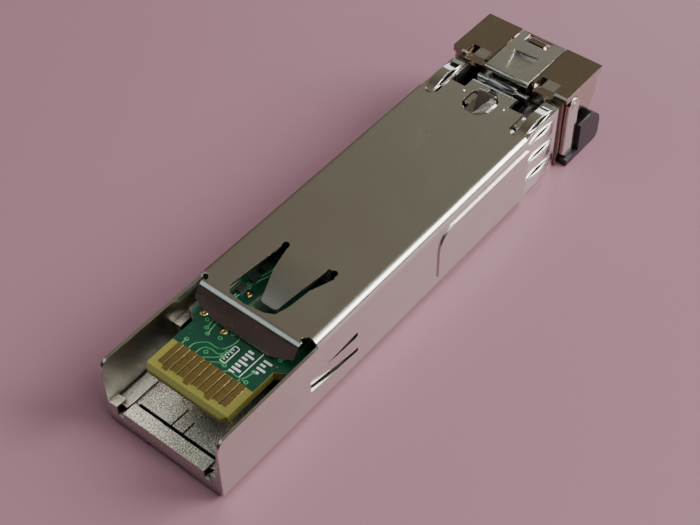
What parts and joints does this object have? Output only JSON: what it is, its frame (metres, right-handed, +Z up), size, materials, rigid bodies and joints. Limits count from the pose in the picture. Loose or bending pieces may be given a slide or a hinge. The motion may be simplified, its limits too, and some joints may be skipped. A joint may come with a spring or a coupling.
{
  "type": "optical transceiver module",
  "caption": "Small pluggable optical transceiver: plated metal cover over a cast base, gold edge contacts at the host end, fibre ports and a black-handled bail latch at the nose.",
  "frame": {"origin": "middle of the resting face, on the surface that the module lies on", "axes": "+Z up through the latch side, +Y along the module from the contact edge towards the fibre ports, +X across its width"},
  "size_m": [0.0148, 0.0568, 0.0092],
  "materials": {
    "cast_zinc": "bright as-cast zinc, lightly textured",
    "nickel_nose": "smooth nickel plating",
    "nickel_sheet": "satin nickel-plated sheet",
    "spring_sheet": "bright plated spring sheet",
    "bail_metal": "polished stamped metal",
    "latch_metal": "sintered steel, smooth",
    "pin_steel": "ground steel",
    "black_plastic": "dark over-moulded plastic",
    "board_green": "green solder mask over fibreglass",
    "gold": "hard gold plating",
    "chip_black": "moulded package",
    "crystal_metal": "seam-welded lid",
    "ceramic_tan": "fired ceramic body",
    "resistor_black": "glazed film",
    "ferrite_grey": "sintered ferrite",
    "thermal_grey": "soft filled silicone",
    "can_gold": "gold-plated can",
    "can_nickel": "nickel-plated can",
    "barrel_steel": "turned stainless steel",
    "zirconia": "polished white ceramic",
    "polyimide": "amber film",
    "label_white": "blank coated paper"
  },
  "bodies": {
    "housing": {"base_casting": "cast_zinc", "nose_casting": "nickel_nose", "shell_cover": "nickel_sheet", "emi_collar": "spring_sheet", "latch_strap": "nickel_sheet", "rocker_pin": "pin_steel", "rocker_spring": "spring_sheet", "circuit_board": "board_green", "contact_fingers_top": "gold", "contact_fingers_bottom": "gold", "controller_chip": "chip_black", "laser_driver_chip": "chip_black", "amplifier_chip": "chip_black", "crystal": "crystal_metal", "capacitors": "ceramic_tan", "resistors": "resistor_black", "inductors": "ferrite_grey", "thermal_pad": "thermal_grey", "transmitter_can": "can_gold", "transmitter_barrel": "barrel_steel", "receiver_can": "can_nickel", "receiver_barrel": "barrel_steel", "ferrule_sleeves": "zirconia", "can_leads": "gold", "transmitter_flex": "polyimide", "receiver_flex": "polyimide", "barrel_clamp": "spring_sheet", "label": "label_white"},
    "bail": {"bail_frame": "bail_metal", "bail_shaft": "pin_steel", "bail_handle": "black_plastic"},
    "latch": {"latch_rocker": "latch_metal"}
  },
  "joints": [
    {"name": "bail_hinge", "type": "hinge", "parent": "housing", "child": "bail", "pos_m": [0, 0.02325, 0.00745], "axis": [1, 0, 0], "range_deg": [0, 90]},
    {"name": "latch_hinge", "type": "hinge", "parent": "housing", "child": "latch", "pos_m": [0, 0.02095, 0.00772], "axis": [1, 0, 0], "range_deg": [0, 6], "deforming": ["rocker_spring"]}
  ],
  "couplings": [
    {"joint": "latch_hinge", "follows": "bail_hinge", "ratio": 0.066667}
  ]
}
